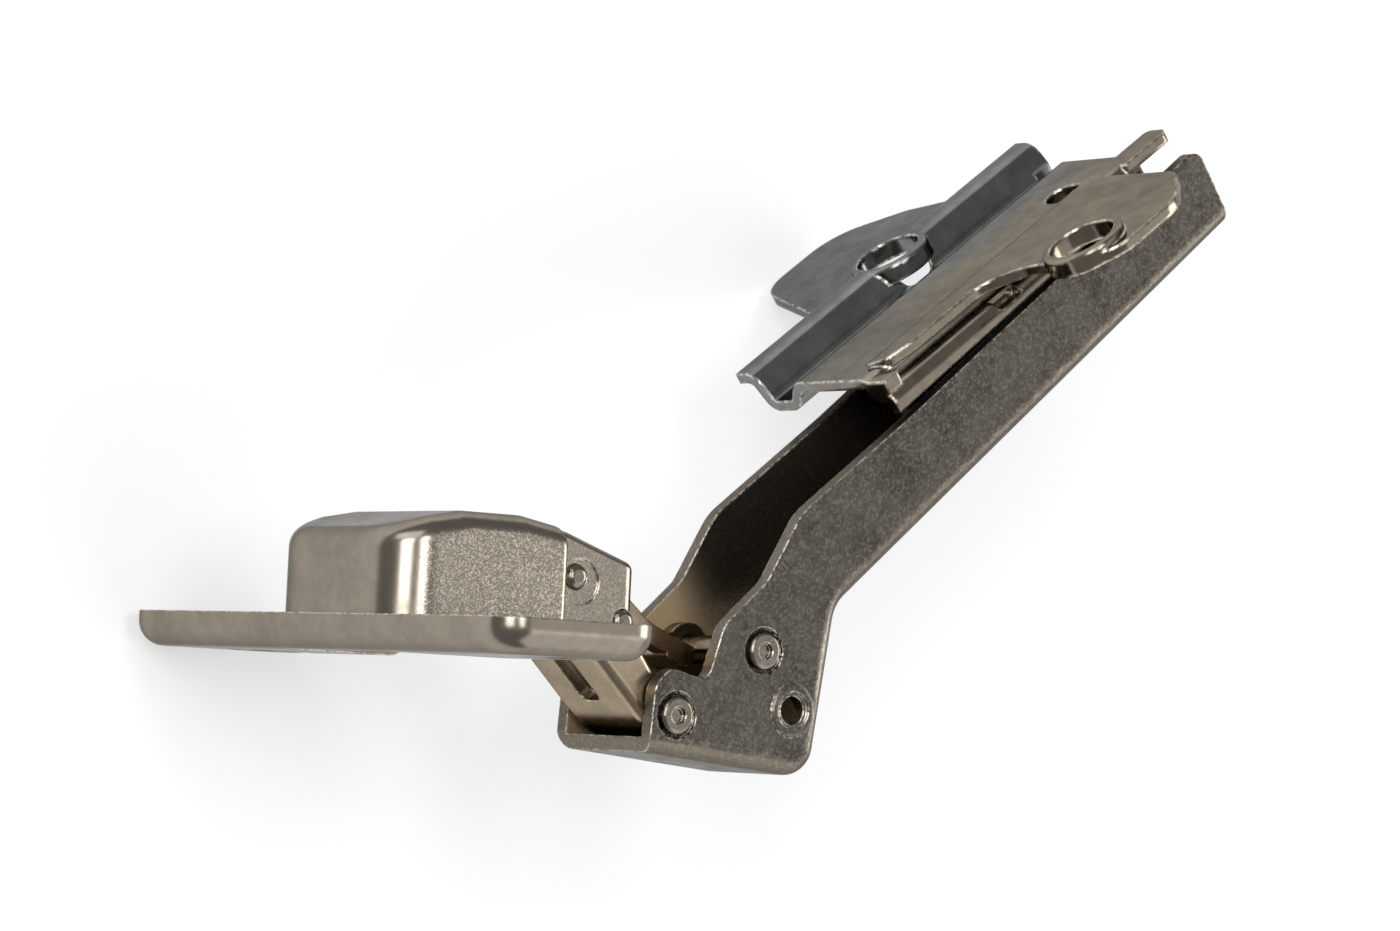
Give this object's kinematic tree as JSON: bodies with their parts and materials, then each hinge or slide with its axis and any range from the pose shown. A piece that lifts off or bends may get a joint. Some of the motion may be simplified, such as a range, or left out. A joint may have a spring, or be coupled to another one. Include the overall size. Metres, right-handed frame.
{
  "type": "concealed cup hinge",
  "caption": "Concealed cabinet hinge: die-cast cup with flange, two links, cranked channel arm and a winged mounting plate with adjusting screws.",
  "frame": {"origin": "on the cabinet panel, midway between the mounting plate's two screw holes", "axes": "+X along the plate away from the door, +Y into the cabinet panel, +Z along the pivots"},
  "size_m": [0.1199, 0.0488, 0.0668],
  "materials": {
    "cup_nickel": "grainy satin nickel on die casting",
    "arm_nickel": "dark mottled nickel on pressed steel",
    "link_nickel": "smooth nickel, slightly yellow",
    "plate_nickel": "shiny nickel on pressed steel",
    "pin_steel": "bright nickel",
    "screw_steel": "bright nickel"
  },
  "bodies": {
    "plate": {"mounting_plate": "plate_nickel"},
    "arm": {"hinge_arm": "arm_nickel", "front_rivet_near": "pin_steel", "front_rivet_far": "pin_steel", "rear_arm_pin": "pin_steel"},
    "inner_lever": {"inner_link": "link_nickel"},
    "outer_lever": {"outer_link": "link_nickel"},
    "cup": {"hinge_cup": "cup_nickel", "deep_cup_pin": "pin_steel", "edge_rivet_near": "pin_steel", "edge_rivet_far": "pin_steel"},
    "adjuster": {"adjusting_screw": "screw_steel"},
    "fixing": {"fixing_screw": "screw_steel"}
  },
  "joints": [
    {"name": "adjuster_turn", "type": "hinge", "parent": "plate", "child": "adjuster", "pos_m": [-0.01797, -0.00107, 0], "axis": [-0.0593, 0.9982, 0], "range_deg": [-360, 360]},
    {"name": "arm_tilt", "type": "hinge", "parent": "plate", "child": "arm", "pos_m": [0.01282, -0.01336, 0], "axis": [0, 0, 1], "range_deg": [-1, 1]},
    {"name": "fixing_turn", "type": "hinge", "parent": "plate", "child": "fixing", "pos_m": [0.01282, -0.008, 0], "axis": [0, 1, 0], "continuous": true},
    {"name": "inner_lever_turn", "type": "hinge", "parent": "arm", "child": "inner_lever", "pos_m": [-0.0536, -0.01548, 0], "axis": [0, 0, 1], "range_deg": [0, 40]},
    {"name": "door_swing", "type": "hinge", "parent": "inner_lever", "child": "cup", "pos_m": [-0.06903, 0.00412, 0], "axis": [0, 0, 1], "range_deg": [0, 87.5]},
    {"name": "outer_lever_turn", "type": "hinge", "parent": "arm", "child": "outer_lever", "pos_m": [-0.0663, -0.01452, 0], "axis": [0, 0, 1], "range_deg": [0, 28]}
  ],
  "couplings": [
    {"joint": "inner_lever_turn", "follows": "door_swing", "ratio": 0.45714},
    {"joint": "outer_lever_turn", "follows": "door_swing", "ratio": 0.32}
  ]
}
